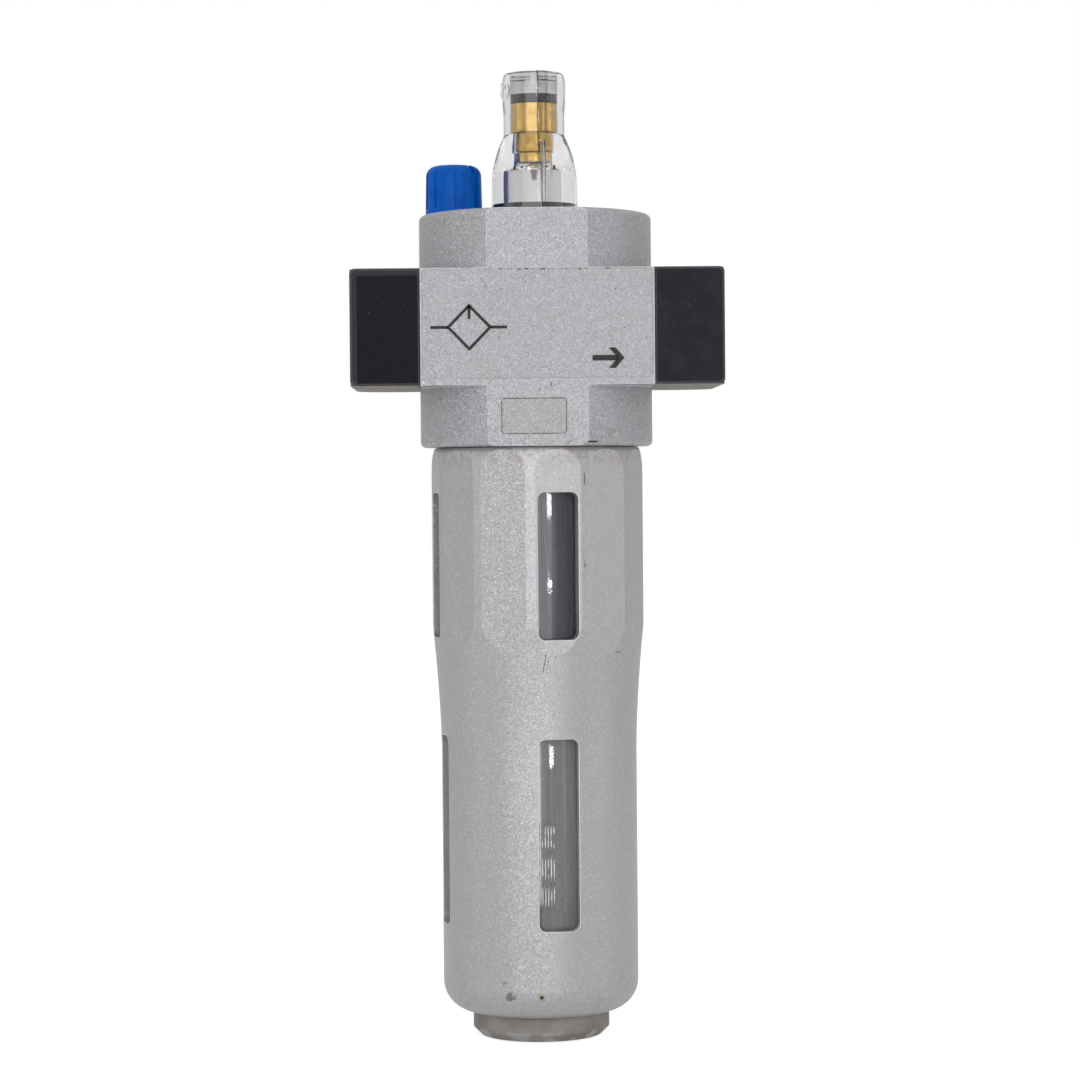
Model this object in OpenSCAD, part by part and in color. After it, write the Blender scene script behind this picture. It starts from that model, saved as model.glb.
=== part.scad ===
// Small air line lubricator with an adjustable oil drip, a sight dome and a guarded bowl.
// Frame: the origin is the centre of the inlet port's mouth, on the flow axis.
// +X runs along the flow to the outlet, +Z is up and the front faces -Y.
// The bowl, its guard and the sight dome share one upright axis, and most modules are
// drawn about that axis and then put in place by on_axis().

/* [Housing] */
// Width of the housing between the two port blocks
housing_w = 40; // [38:1:46]
// Depth of the housing from its front face to its back face
housing_d = 37; // [36:0.5:40]
// Height of the square band that carries the port blocks
band_h = 20; // [18:1:22]
// Diameter of the round part above and below the band
barrel_d = 40.8; // [39.5:0.1:44]
// Height of the housing above the flow axis
barrel_up = 20.25; // [19:0.25:24]
// Depth of the housing below the flow axis
barrel_down = 20.4; // [19.5:0.1:24]
// Rounding of the housing's top and bottom edges
edge_r = 0.9; // [0.4:0.1:1.2]
// Depth of the air passage's roof over the bowl, below the flow axis
ceiling_z = 10.5; // [10:0.25:12]

/* [Ports] */
// Thickness of each port block along the flow
block_w = 12; // [11:1:16]
// Set-back of each block's rear face from the housing's rear face
block_back_gap = 0.5; // [0:0.25:2]
// Radius of each block's outer rear corner
block_corner_r = 6; // [3:0.5:8]
// Major diameter of the port thread
port_d = 13.157; // [12:0.001:14]
// Depth of the port thread
port_depth = 9.5; // [8:0.5:10]
// Diameter of the air passage through the housing
flow_d = 10.4; // [9:0.2:11]
// Thickness of the black cover plates on the blocks
cover_t = 2; // [1.5:0.25:3]
// Bevel around the cover plates' front edges
cover_bevel = 0.4; // [0.2:0.1:0.8]
// Rounding of each cover plate's two corners at the port's mouth
cover_round = 0.9; // [0.6:0.1:1.5]
// Diameter of the pegs that hold each cover plate
peg_d = 2.6; // [2:0.2:3]
// Length of the pegs behind the plate
peg_len = 4; // [3:0.5:6]
// Distance between the two pegs of one plate
peg_span = 14; // [13:0.5:14.5]

/* [Block fasteners and seals] */
// Thread diameter of the block screws
screw_d = 4; // [3:0.5:4]
// Head diameter of the block screws
screw_head_d = 7; // [6:0.5:7]
// Head height of the block screws
screw_head_h = 4; // [3:0.5:4]
// Length of the block screws under the head
screw_len = 12; // [10:1:14]
// Hexagon size of the screw socket
screw_key = 3; // [2.5:0.5:3]
// Depth of the screw heads' tops below the block's mouth face
screw_sunk = 2; // [1.5:0.1:2.5]
// Distance of each screw from the housing's front or rear face
screw_inset = 6.2; // [5.8:0.1:6.4]
// Mean diameter of the ring seal behind each block
port_seal_d = 15.2; // [14:0.2:16]
// Cord thickness of the ring seal behind each block
port_seal_cord = 1.6; // [1.2:0.1:1.8]

/* [Air insert] */
// Length of the nozzle sleeve in the air passage
venturi_len = 24; // [16:1:34]
// Throat diameter of the nozzle sleeve
throat_d = 4.6; // [4:0.2:6]
// Outer diameter of the drip jet
jet_d = 2.4; // [2:0.1:3]
// Bore of the drip jet
jet_bore = 1; // [0.6:0.1:1.2]

/* [Sight dome] */
// Height of the dome above the housing
dome_h = 24.95; // [24:0.25:28]
// Diameter of the dome's slim upper part
dome_d = 10.7; // [10.5:0.1:12]
// Extra diameter of the dome's rim band
rim_extra = 0.4; // [0.2:0.1:0.8]
// Height of the dome's rim band
rim_h = 2.9; // [2.5:0.1:3.5]
// Rounding of the dome's top edge
rim_round = 0.6; // [0.3:0.1:0.8]
// Diameter of the dome at its foot
dome_foot_d = 15.2; // [14.8:0.1:16]
// Height of the wide part of the dome
dome_wide_h = 5.3; // [4:0.1:6]
// Height at which the slim upper part starts
dome_slim_h = 14.05; // [13:0.25:15]
// Depth of the dome's spigot in the housing
spigot_len = 6.6; // [5:0.2:8]
// Diameter of the dome's spigot
spigot_d = 13.2; // [13:0.1:14]
// Diameter of the drip chamber
chamber_d = 9.4; // [8:0.2:9.6]
// Height of the drip chamber's roof above the housing
chamber_h = 8.35; // [7:0.25:9]
// Bearing from the front, turned to the right, of the oil riser in the dome's wall
riser_turn = 15; // [0:1:40]
// Width of the riser's raised strip
riser_w = 1.9; // [1.4:0.1:2.4]
// Height by which the riser's strip stands out of the wall
riser_out = 0.55; // [0.5:0.05:0.8]
// Bore of the riser
riser_bore = 0.8; // [0.6:0.1:0.8]
// Outer diameter of the seal under the dome's foot
foot_seal_d = 14.4; // [14:0.1:14.6]
// Cord width of the seal under the dome's foot
foot_seal_w = 1.5; // [1.2:0.1:1.6]
// Height of the seal under the dome's foot
foot_seal_h = 1.9; // [1.5:0.1:2.2]

/* [Metering screw] */
// Diameter of the brass screw's thick upper part
screw_body_d = 8.2; // [7.8:0.1:8.4]
// Diameter of the brass screw's middle part
screw_waist_d = 6.5; // [6.2:0.1:6.8]
// Diameter of the brass screw's threaded end
screw_thread_d = 6; // [5:0.1:6]
// Length of the brass screw's thick upper part
screw_body_len = 5.4; // [5:0.1:5.6]
// Length of the brass screw's middle part
screw_waist_len = 3.85; // [3.5:0.05:4]
// Length of the brass screw's threaded end
screw_thread_len = 1.85; // [1.5:0.05:2.2]
// Length of the needle below the thread
needle_len = 2.4; // [1.5:0.1:3]
// Thickness of the ring seal on the metering screw
metering_seal_t = 1.4; // [1.2:0.1:1.6]
// Diameter of the clear head's stem
head_stem_d = 5; // [4:0.2:5.4]
// Height of the clear slotted head above its seal
head_h = 3; // [2.4:0.1:3.2]
// Width of the screwdriver slot in the clear head
head_slot_w = 1.2; // [0.8:0.1:1.6]
// Depth of the screwdriver slot in the clear head
head_slot_h = 1.5; // [1:0.1:1.8]

/* [Filler plug] */
// Distance of the filler plug to the left of the dome's axis
filler_x = 14.2; // [13.8:0.1:14.4]
// Diameter of the plug's head at its foot
plug_d = 10; // [9:0.2:10.4]
// Height of the plug's head
plug_h = 8.75; // [7:0.25:11]
// Loss of diameter from the foot of the head to its top
plug_taper = 0.3; // [0:0.1:0.6]
// Rounding of the head's top edge
plug_round = 1.8; // [1:0.1:2.4]
// Height of the plain skirt below the flutes
plug_skirt = 1.2; // [0.8:0.1:2]
// Number of ribs around the head
plug_ribs = 8; // [6:1:10]
// Width of the flutes between the ribs
flute_w = 1.8; // [1.4:0.1:2]
// Depth of the flutes
flute_h = 0.55; // [0.3:0.05:0.8]
// Bearing of one rib from the front, turned to the left
plug_turn = 10; // [0:1:44]
// Bearing of the coin slot across the top
plug_slot_turn = 48; // [0:1:90]
// Width of the coin slot across the top
plug_slot_w = 1; // [0.8:0.1:1.6]
// Depth of the coin slot across the top
plug_slot_h = 1.7; // [1:0.1:2.4]
// Diameter of the plug's threaded stem
stem_d = 6.8; // [6:0.2:7]
// Length of the plug's threaded stem
stem_len = 6; // [5:0.5:7]
// Outer diameter of the plug's ring seal
plug_seal_d = 8.6; // [8.2:0.1:9]
// Height of the plug's ring seal
plug_seal_h = 1.2; // [1:0.1:1.6]
// Diameter of the oil way from the filler bore to the bowl
oil_way_d = 2.6; // [2:0.2:2.8]
// Distance of the oil way's upright leg to the left of the dome's axis
oil_way_x = 7.6; // [7:0.1:8]
// Height of the oil way's bend above the flow axis
way_z = 6.2; // [5.8:0.1:6.6]

/* [Bowl guard] */
// Length of the guard below its shoulder
guard_len = 98.9; // [92:0.5:120]
// Amount by which the guard's widest diameter is more than the housing's depth
guard_over = 0.2; // [0:0.1:0.6]
// Loss of width from the guard's rounded corners to its flats
flats_inset = 0.9; // [0.7:0.1:1.2]
// Number of flats around the guard
guard_sides = 12; // [8:4:12]
// Loss of diameter from the guard's widest part to its top edge
top_inset = 1.6; // [1.2:0.1:2]
// Length of the rounded shoulder under the housing
guard_shoulder = 4.5; // [3:0.25:6]
// Length of the faceted part, with its shoulder
guard_grip_len = 31; // [28:0.5:34]
// Length of the hollow curve under the faceted part
guard_neck_len = 22; // [16:0.5:24]
// Loss of diameter from the guard's widest part to its slim lower part
slim_inset = 2.8; // [2.2:0.1:3.2]
// Rounding of the guard's bottom edge
guard_round = 5.2; // [4:0.2:6]
// Thickness of the guard's wall in its slim lower part
guard_wall = 1.6; // [1.4:0.1:1.8]
// Thickness of the guard's floor
guard_floor = 2; // [1.5:0.1:3]
// Thickness of the guard's threaded collar
collar_wall = 1.3; // [1.2:0.1:1.4]
// Length of the guard's threaded collar
collar_len = 6.6; // [5.5:0.1:6.6]
// Turn of the windows from the front, to the right
window_turn = 10.3; // [0:0.1:30]
// Number of windows in each row
window_count = 4; // [3:1:6]
// Width of the windows
window_w = 7.1; // [5:0.1:8]
// Corner radius of the windows
window_r = 1.3; // [0.8:0.1:2]
// Distance from the shoulder to the top of the upper windows
upper_window_top = 7.8; // [6:0.2:9]
// Height of the upper windows
upper_window_h = 25.3; // [20:0.1:26]
// Distance from the shoulder to the top of the lower windows
lower_window_top = 50.2; // [46:0.2:54]
// Height of the lower windows
lower_window_h = 33; // [26:0.5:36]

/* [Bowl] */
// Wall of the clear bowl
bowl_wall = 2; // [1.5:0.1:2.5]
// Thickness of the bowl's floor
bowl_floor = 2.4; // [2:0.1:3]
// Thickness of the bowl's flange
flange_t = 3; // [2.8:0.1:3.4]
// Loss of diameter from the guard's collar to the bowl's flange
flange_inset = 0.6; // [0.4:0.1:1]
// Loss of diameter from the bowl's flange to the middle of its ring seal
seal_inset = 3.2; // [3:0.1:3.4]
// Cord thickness of the bowl's ring seal
bowl_seal_cord = 1.7; // [1.5:0.1:1.8]
// Diameter of the threaded stub under the bowl
stub_d = 14; // [10:0.5:16]
// Height of the end nut
nut_h = 4.2; // [3.8:0.1:6]
// Chamfer of the end nut
nut_chamfer = 1.3; // [0.5:0.1:1.6]
// Thickness of the end nut's floor
nut_floor = 1.2; // [1:0.1:1.6]
// Diameter of the two spanner holes in the end nut
spanner_hole_d = 2.5; // [2:0.1:3]

/* [Oil pick-up] */
// Distance of the pick-up to the right of the bowl's axis
pickup_x = 1.1; // [0:0.1:2]
// Distance of the pick-up in front of the bowl's axis
pickup_y = 7.4; // [7.3:0.1:8]
// Diameter of the pick-up fitting's spigot
fitting_d = 6; // [5.6:0.1:6]
// Diameter of the pick-up fitting's collar
fitting_collar_d = 7; // [6.6:0.1:7.4]
// Length of the pick-up fitting's spigot
fitting_spigot = 5.2; // [5:0.1:5.3]
// Length of the pick-up fitting's collar
fitting_collar = 5.5; // [5:0.5:7]
// Height above the flow axis at which the oil riser turns towards the dome
rise_z = 9; // [8.5:0.1:9.5]
// Outer diameter of the siphon tube
tube_d = 3.2; // [3:0.1:3.4]
// Bore of the siphon tube
tube_bore = 2; // [1.6:0.1:2.2]
// Lean of the siphon tube to the right
tube_lean = 3.7; // [0:0.1:4]
// Lean of the siphon tube towards the bowl's axis
tube_back_lean = 2.6; // [0:0.1:3]
// Length of the siphon tube
tube_len = 90; // [60:1:92]
// Depth of the siphon tube's seat in the fitting
tube_seat = 3.5; // [3:0.25:4.5]
// Diameter of the check ball
ball_d = 2.2; // [2:0.1:2.4]
// Lift of the check ball
ball_lift = 1; // [0.5:0.1:1]
// Diameter of the pick-up filter
filter_d = 7; // [6:0.2:8]
// Length of the pick-up filter
filter_len = 9; // [6:0.5:10]
// Number of slots around the pick-up filter
filter_slots = 10; // [6:1:12]

/* [Clearances] */
// Radial clearance of a thread or a running fit
thread_fit = 0.05; // [0.03:0.01:0.08]
// Radial clearance of a fixed piece in its seat
seat_fit = 0.02; // [0.01:0.01:0.05]
// Gap between faces that close on one another
face_gap = 0.1; // [0.05:0.01:0.2]
// Gap between the bowl and its guard
bowl_gap = 0.4; // [0.3:0.05:0.6]
// Seam between the housing and the guard
seam = 0.15; // [0.1:0.05:0.3]

/* [Hidden] */

$fn = 96;
// Side count of small round details
small_fn = 32;
// Overlap of cutting shapes past the faces that they cut
over = 0.5;
// Steps in each curved stretch of an outline
curve_steps = 8;

axis_x = block_w + housing_w / 2;
block_d = housing_d - block_back_gap - cover_t;
body_reach = housing_w / 2;
screw_span = housing_d - 2 * screw_inset;
screw_seat = screw_sunk + screw_head_h;
screw_tip = screw_seat + screw_len;
// Small chamfer on turned edges
edge = 0.2;

filler_foot = barrel_up - stem_len - 2 * edge;
way_x = -oil_way_x;
socket_floor = barrel_up - spigot_len - face_gap;
dome_top = barrel_up + dome_h;
chamber_roof = barrel_up + chamber_h;
// Depth of the clear head's top below the dome's rim
head_sink = 0.85;
screw_step_z = dome_top - head_sink - head_h - metering_seal_t - screw_body_len;
seal_bottom_z = screw_step_z + screw_body_len;
stem_z = screw_step_z + screw_body_len / 5;
waist_bottom_z = screw_step_z - screw_waist_len;
thread_bottom_z = waist_bottom_z - screw_thread_len;
upper_bore_d = screw_body_d + 2 * face_gap;
// Room for the oil around the screw's waist
waist_room = 0.25;
waist_bore_d = screw_waist_d + 2 * waist_room;
riser_reach = (upper_bore_d / 2 + dome_d / 2 + riser_out) / 2;
riser_top = waist_bottom_z + screw_waist_len / 2;

guard_d = housing_d + guard_over;
guard_flats = guard_d - flats_inset;
guard_top_d = guard_d - top_inset;
guard_slim_d = guard_d - slim_inset;
guard_bore = guard_slim_d - 2 * guard_wall;
collar_d = guard_bore + 2 * collar_wall;
flange_d = collar_d - flange_inset;
bowl_seal_d = flange_d - seal_inset;
nut_d = guard_slim_d - 2 * guard_round;

shoulder_z = -barrel_down - seam;
collar_top = shoulder_z + collar_len;
guard_bottom = shoulder_z - guard_len;
guard_floor_z = guard_bottom + guard_floor;
bowl_r = guard_bore / 2 - bowl_gap;
bowl_inner_r = bowl_r - bowl_wall;
flange_bottom = collar_top + face_gap;
flange_top = flange_bottom + flange_t;
bowl_bottom = guard_floor_z + 2 * face_gap;
// Loss of rounding from the guard's outside to its inside
round_step = 1.2;
guard_inner_round = guard_round - round_step;
bowl_corner_r = guard_inner_round + bowl_wall;
nut_top = guard_bottom - face_gap;
nut_bottom = nut_top - nut_h;

fitting_bottom = -ceiling_z - fitting_collar;
fitting_top = -ceiling_z + fitting_spigot;
ball_chamber_d = ball_d + 4 * face_gap;
// Room left above the ball at the top of its lift
ball_room = 0.5;
ball_seat_z = fitting_top - ball_d - ball_lift - ball_room;
tube_top = fitting_bottom + tube_seat;

// Points on an arc about c, from bearing a to bearing b
function arc(c, r, a, b, n = curve_steps) =
    [for (i = [0:n]) c + r * [cos(a + (b - a) * i / n), sin(a + (b - a) * i / n)]];

// Puts what is drawn about the upright axis in its place
module on_axis() {
    translate([axis_x, 0, 0]) children();
}

// Solid of revolution about the upright axis
module turned(outline) {
    rotate_extrude() polygon(outline);
}

// Cylinder along X, starting at x
module rod_x(x, d, len) {
    translate([x, 0, 0]) rotate([0, 90, 0]) cylinder(d = d, h = len);
}

// Ring with a square section about the upright axis
module ring(z, inner_d, outer_d, h) {
    translate([0, 0, z]) difference() {
        cylinder(d = outer_d, h = h);
        translate([0, 0, -over]) cylinder(d = inner_d, h = h + 2 * over);
    }
}

// Flat outline with four round corners, centred on the origin
module round_rect(w, h, r) {
    square([w - 2 * r, h], center = true);
    square([w, h - 2 * r], center = true);
    for (sx = [-1, 1], sy = [-1, 1])
        translate([sx * (w / 2 - r), sy * (h / 2 - r)]) circle(r = r, $fn = small_fn);
}

// Turns what faces +X to a bearing from the front, positive to the right
module to_bearing(turn) {
    rotate([0, 0, turn - 90]) children();
}

// Straight drilled way from one point past another, so that two ways cross in full
module drilled(from, to, d) {
    run = to - from;
    len = norm(run);
    translate(from)
        rotate([0, acos(run[2] / len), atan2(run[1], run[0])])
            cylinder(d = d, h = len + d / 3, $fn = small_fn);
}

// Outer form of the housing: a round barrel with two flats, and the square band
module housing_form() {
    r = barrel_d / 2;
    difference() {
        turned(concat([[0, -barrel_down]],
            arc([r - edge_r, edge_r - barrel_down], edge_r, -90, 0, 4),
            arc([r - edge_r, barrel_up - edge_r], edge_r, 0, 90, 4),
            [[0, barrel_up]]));
        for (side = [-1, 1]) {
            translate([0, side * (housing_d + barrel_d) / 2, 0])
                cube([2 * barrel_d, barrel_d, 2 * barrel_d], center = true);
            translate([side * (housing_w + block_w) / 2, 0, 0])
                cube([block_w, barrel_d, band_h], center = true);
        }
    }
    cube([housing_w, housing_d, band_h], center = true);
}

// Threaded holes in the housing for the screws of both blocks
module screw_holes() {
    depth = screw_tip - block_w + 2 * over;
    for (side = [-1, 1], y = [-1, 1])
        translate([0, y * screw_span / 2, 0])
            rod_x(side > 0 ? body_reach - depth : -body_reach - over,
                screw_d, depth + over);
}

// The ways that carry oil: filler bore to bowl, and pick-up to the dome's riser
module oil_ways() {
    bend_y = flow_d / 2 + 1.4 * oil_way_d;
    drilled([-filler_x, 0, filler_foot + oil_way_d / 2], [way_x, bend_y, way_z], oil_way_d);
    drilled([way_x, bend_y, -ceiling_z - over], [way_x, bend_y, way_z], oil_way_d);
    drilled([pickup_x, -pickup_y, fitting_top - over], [pickup_x, -pickup_y, rise_z], 2 * riser_bore);
    drilled([riser_reach * sin(riser_turn), -riser_reach * cos(riser_turn), socket_floor + over],
        [pickup_x, -pickup_y, rise_z], 2 * riser_bore);
}

module housing() {
    color("silver") on_axis() difference() {
        housing_form();
        rod_x(-body_reach - over, flow_d, housing_w + 2 * over);
        translate([0, 0, socket_floor])
            cylinder(d = spigot_d + 2 * seat_fit, h = barrel_up - socket_floor + over);
        cylinder(d = jet_d + 2 * seat_fit, h = socket_floor + over, $fn = small_fn);
        translate([-filler_x, 0, filler_foot])
            cylinder(d = stem_d + 2 * thread_fit, h = barrel_up - filler_foot + over);
        translate([-filler_x, 0, barrel_up - plug_seal_h])
            cylinder(d = plug_seal_d + 2 * face_gap, h = plug_seal_h + over);
        translate([0, 0, -barrel_down - over])
            cylinder(d = collar_d + 2 * thread_fit, h = barrel_down - ceiling_z + over);
        translate([pickup_x, -pickup_y, -ceiling_z - over])
            cylinder(d = fitting_d + 2 * seat_fit, h = fitting_spigot + over);
        oil_ways();
        screw_holes();
    }
}

module venturi_sleeve() {
    half = venturi_len / 2;
    outer_r = flow_d / 2 - seat_fit;
    mouth_r = outer_r - 2 * edge;
    throat_half = jet_d;
    color("gainsboro") on_axis() difference() {
        rotate([0, 90, 0]) turned([
            [throat_d / 2, -throat_half], [mouth_r, -half], [outer_r, -half],
            [outer_r, half], [mouth_r, half], [throat_d / 2, throat_half]]);
        cylinder(d = jet_d + 2 * face_gap, h = flow_d, $fn = small_fn);
    }
}

module drip_jet() {
    foot = throat_d / 2 + jet_d / 4;
    top = socket_floor + jet_d / 4;
    color("goldenrod") on_axis() ring(foot, jet_bore, jet_d, top - foot, $fn = small_fn);
}

// Half outline of the dome's outside, from its spigot to the rim, grown by some amount
function dome_side(grow) = let(
        slim_r = dome_d / 2 + grow,
        foot_r = dome_foot_d / 2 + grow,
        low = barrel_up + dome_wide_h,
        high = barrel_up + dome_slim_h,
        wide_r = foot_r - edge / 2,
        rim_r = slim_r + rim_extra / 2)
    concat([[foot_r, barrel_up + face_gap]],
        [for (i = [0:curve_steps]) let(t = 1 - i / curve_steps)
            [slim_r + (wide_r - slim_r) * (1 - (1 - t) * (1 - t)), high - (high - low) * t]],
        [[slim_r, dome_top - 2.4 * rim_h], [rim_r, dome_top - 1.55 * rim_h]],
        [[rim_r, dome_top - 0.55 * rim_h]],
        arc([slim_r - rim_round, dome_top - rim_round], rim_round, 0, 90, 3));

module sight_dome() {
    nib_d = 2.4;
    nib_out = 0.5;
    drain = 0.8;
    color("lightcyan", 0.5) on_axis() difference() {
        union() {
            turned(concat([[0, socket_floor + face_gap],
                    [spigot_d / 2, socket_floor + face_gap],
                    [spigot_d / 2, barrel_up + face_gap]],
                dome_side(0), [[0, dome_top]]));
            intersection() {
                turned(concat([[0, barrel_up + face_gap]], dome_side(riser_out),
                    [[0, dome_top]]));
                to_bearing(riser_turn)
                    translate([0, -riser_w / 2, barrel_up])
                        cube([dome_foot_d, riser_w, dome_h]);
            }
            translate([0, 0, dome_top - rim_h])
                rod_x(-dome_d / 2 - nib_out, nib_d, 2 * nib_out, $fn = small_fn);
        }
        turned([[0, socket_floor], [chamber_d / 2, socket_floor],
            [chamber_d / 2, chamber_roof - drain], [chamber_d / 2 - drain, chamber_roof],
            [screw_thread_d / 2 + thread_fit, chamber_roof],
            [screw_thread_d / 2 + thread_fit, waist_bottom_z - face_gap],
            [waist_bore_d / 2, waist_bottom_z - face_gap],
            [waist_bore_d / 2, screw_step_z - face_gap],
            [upper_bore_d / 2, screw_step_z - face_gap],
            [upper_bore_d / 2, dome_top - 2 * edge],
            [upper_bore_d / 2 + 2 * edge, dome_top + over], [0, dome_top + over]]);
        ring(barrel_up - over, foot_seal_d - 2 * foot_seal_w - 2 * seat_fit,
            foot_seal_d + 2 * seat_fit, foot_seal_h + over + seat_fit);
        to_bearing(riser_turn)
            translate([riser_reach, 0, socket_floor])
                cylinder(d = riser_bore, h = riser_top - socket_floor, $fn = small_fn);
        to_bearing(riser_turn) translate([0, 0, riser_top])
            rod_x(0, riser_bore, riser_reach, $fn = small_fn);
    }
}

module dome_seal() {
    color("dimgray") on_axis()
        ring(barrel_up, foot_seal_d - 2 * foot_seal_w, foot_seal_d, foot_seal_h);
}

module metering_screw() {
    body_r = screw_body_d / 2;
    waist_r = screw_waist_d / 2;
    thread_r = screw_thread_d / 2;
    needle_r = thread_r / 3;
    color("goldenrod") on_axis() difference() {
        turned([[0, thread_bottom_z - needle_len],
            [needle_r / 3, thread_bottom_z - needle_len], [needle_r, thread_bottom_z],
            [thread_r - edge, thread_bottom_z], [thread_r, thread_bottom_z + edge],
            [thread_r, waist_bottom_z], [waist_r - edge, waist_bottom_z],
            [waist_r, waist_bottom_z + edge], [waist_r, screw_step_z],
            [body_r - edge, screw_step_z], [body_r, screw_step_z + edge],
            [body_r, seal_bottom_z - edge], [body_r - edge, seal_bottom_z],
            [0, seal_bottom_z]]);
        translate([0, 0, stem_z - face_gap])
            cylinder(d = head_stem_d + 2 * seat_fit, h = screw_body_len);
    }
}

module metering_head() {
    head_z = seal_bottom_z + metering_seal_t;
    head_r = screw_body_d / 2;
    color("whitesmoke", 0.6) on_axis() difference() {
        turned([[0, stem_z], [head_stem_d / 2, stem_z], [head_stem_d / 2, head_z],
            [head_r, head_z], [head_r, head_z + head_h - edge],
            [head_r - edge, head_z + head_h], [0, head_z + head_h]]);
        translate([0, 0, head_z + head_h])
            cube([head_slot_w, 2 * screw_body_d, 2 * head_slot_h], center = true);
    }
}

module metering_seal() {
    color("black") on_axis() translate([0, 0, seal_bottom_z + seat_fit])
        difference() {
            cylinder(d = upper_bore_d - 2 * seat_fit, h = metering_seal_t - 2 * seat_fit);
            translate([0, 0, -over])
                cylinder(d = head_stem_d + 2 * thread_fit, h = metering_seal_t + 2 * over);
        }
}

module filler_plug() {
    foot_z = barrel_up + face_gap;
    top_z = foot_z + plug_h;
    foot_r = plug_d / 2;
    top_r = foot_r - plug_taper / 2;
    stem_foot = barrel_up - stem_len;
    // Angle at which the rounded edge runs into the slightly domed top
    crown = 78;
    color("royalblue") on_axis() translate([-filler_x, 0, 0]) difference() {
        turned(concat([[0, stem_foot], [stem_d / 2 - 2 * edge, stem_foot],
                [stem_d / 2, stem_foot + 2 * edge], [stem_d / 2, foot_z], [foot_r, foot_z]],
            arc([top_r - plug_round, top_z - plug_round], plug_round, 0, crown, 5),
            [[0, top_z]]));
        for (i = [0:plug_ribs - 1])
            to_bearing((i + 0.5) * 360 / plug_ribs - plug_turn)
                translate([foot_r - flute_h, -flute_w / 2, foot_z + plug_skirt])
                    cube([foot_r, flute_w, plug_h]);
        to_bearing(plug_slot_turn) translate([0, 0, top_z])
            cube([2 * plug_d, plug_slot_w, 2 * plug_slot_h], center = true);
    }
}

module filler_seal() {
    color("black") on_axis() translate([-filler_x, 0, 0])
        ring(barrel_up - plug_seal_h + seat_fit, stem_d + 2 * thread_fit, plug_seal_d,
            plug_seal_h);
}

module siphon_fitting() {
    color("gainsboro") on_axis() translate([pickup_x, -pickup_y, 0]) difference() {
        union() {
            translate([0, 0, fitting_bottom])
                cylinder(d = fitting_collar_d, h = fitting_collar);
            translate([0, 0, fitting_bottom])
                cylinder(d = fitting_d, h = fitting_collar + fitting_spigot - face_gap);
        }
        turned([[0, tube_top - over], [tube_bore / 2, tube_top - over],
            [tube_bore / 2, ball_seat_z - edge],
            [ball_chamber_d / 2, ball_seat_z + 2 * edge], [ball_chamber_d / 2, fitting_top + over],
            [0, fitting_top + over]]);
        translate([-pickup_x, pickup_y, 0]) on_tube()
            translate([0, 0, -fitting_collar])
                cylinder(d = tube_d + 2 * seat_fit, h = fitting_collar + seat_fit);
    }
}

module check_ball() {
    color("silver") on_axis()
        translate([pickup_x, -pickup_y, ball_seat_z + ball_d / 2])
            sphere(d = ball_d, $fn = 48);
}

// Puts what is drawn downwards from the origin on the leaning axis of the siphon tube
module on_tube() {
    translate([pickup_x, -pickup_y, tube_top])
        rotate([tube_back_lean, -tube_lean, 0]) children();
}

module siphon_tube() {
    color("whitesmoke") on_axis() on_tube() ring(-tube_len, tube_bore, tube_d, tube_len);
}

module siphon_filter() {
    socket = 3;
    wall = 1;
    slot_w = 0.6;
    color("tan") on_axis() on_tube() translate([0, 0, -tube_len - filter_len + socket])
        difference() {
            turned([[0, 0], [(filter_d - wall) / 2, 0], [filter_d / 2, wall / 2],
                [filter_d / 2, filter_len - socket], [tube_d / 2 + wall, filter_len - wall],
                [tube_d / 2 + wall, filter_len], [0, filter_len]]);
            turned([[0, wall], [filter_d / 2 - wall, wall],
                [filter_d / 2 - wall, filter_len - socket - wall],
                [tube_d / 2 - wall / 2, filter_len - socket - seat_fit],
                [tube_d / 2 + seat_fit, filter_len - socket - seat_fit],
                [tube_d / 2 + seat_fit, filter_len + over], [0, filter_len + over]]);
            for (i = [0:filter_slots - 1])
                rotate([0, 0, i * 360 / filter_slots])
                    translate([0, -slot_w / 2, 1.5 * wall])
                        cube([filter_d, slot_w, filter_len - socket - 3 * wall]);
        }
}

module bowl() {
    stub_r = stub_d / 2;
    groove_r = bowl_seal_cord / 2 + face_gap;
    groove_h = bowl_seal_cord - face_gap;
    floor_z = bowl_bottom + bowl_floor;
    color("lightsteelblue", 0.5) on_axis() difference() {
        turned(concat([[0, nut_bottom + nut_floor + face_gap],
                [stub_r - thread_fit, nut_bottom + nut_floor + face_gap],
                [stub_r - thread_fit, bowl_bottom]],
            arc([bowl_r - bowl_corner_r, bowl_bottom + bowl_corner_r], bowl_corner_r,
                -90, 0, 6),
            [[bowl_r, flange_bottom], [flange_d / 2, flange_bottom],
                [flange_d / 2, flange_top], [0, flange_top]]));
        turned(concat([[0, floor_z]],
            arc([bowl_inner_r - guard_inner_round, floor_z + guard_inner_round],
                guard_inner_round, -90, 0, 6),
            [[bowl_inner_r, flange_top + over], [0, flange_top + over]]));
        ring(flange_top - groove_h, bowl_seal_d - 2 * groove_r, bowl_seal_d + 2 * groove_r,
            groove_h + over);
    }
}

module bowl_seal() {
    color("black") on_axis()
        translate([0, 0, flange_top - bowl_seal_cord / 2 + face_gap + seat_fit])
            rotate_extrude() translate([bowl_seal_d / 2, 0])
                circle(d = bowl_seal_cord, $fn = small_fn);
}

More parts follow.
